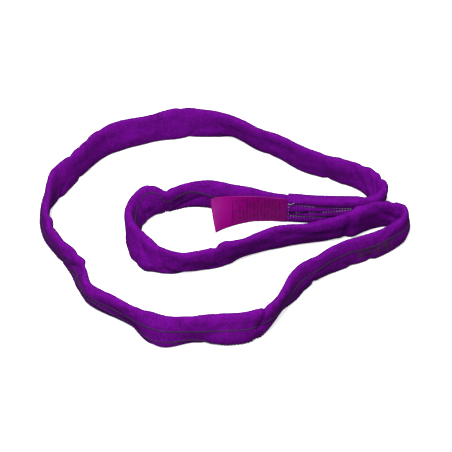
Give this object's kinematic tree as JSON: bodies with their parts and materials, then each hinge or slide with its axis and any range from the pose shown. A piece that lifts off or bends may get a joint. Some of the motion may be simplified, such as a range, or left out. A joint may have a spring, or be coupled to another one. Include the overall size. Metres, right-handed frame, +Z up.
{
  "type": "round sling",
  "caption": "Endless textile lifting loop: a woven tube sewn closed round a hank of yarn, lying on its edge, with a sewn-in label.",
  "frame": {"origin": "bottom centre of the whole loop as it lies, on the surface it stands on", "axes": "+Z up out of the plane of the loop, +X towards the two hairpin bends, +Y towards the long outer leg that carries no seam in view"},
  "size_m": [0.4705, 0.3913, 0.0441],
  "materials": {
    "cover": "woven violet polyester, matt with a faint sheen",
    "core_yarn": "untwisted white polyester yarn",
    "core_tape": "thin self-adhesive tape",
    "seam_thread": "black sewing thread",
    "closing_thread": "pale grey sewing thread",
    "label_film": "translucent magenta film"
  },
  "bodies": {
    "sling": {"cover_sleeve": "cover", "core_turn_01": "core_yarn", "core_turn_02": "core_yarn", "core_turn_03": "core_yarn", "core_turn_04": "core_yarn", "core_turn_05": "core_yarn", "core_turn_06": "core_yarn", "core_turn_07": "core_yarn", "core_turn_08": "core_yarn", "core_turn_09": "core_yarn", "core_turn_10": "core_yarn", "core_turn_11": "core_yarn", "core_turn_12": "core_yarn", "core_end_tape": "core_tape", "seam_thread_lower": "seam_thread", "seam_thread_upper": "seam_thread", "closing_row_upper": "closing_thread", "closing_row_middle": "closing_thread", "closing_row_lower": "closing_thread", "label_row": "closing_thread", "thread_knot": "closing_thread", "label_root": "label_film"},
    "label": {"label_flap": "label_film"}
  },
  "joints": [
    {"name": "label_hinge", "type": "hinge", "parent": "sling", "child": "label", "pos_m": [0.07957, 0.01469, 0], "axis": [0, 0, 1], "range_deg": [0, 30]}
  ]
}
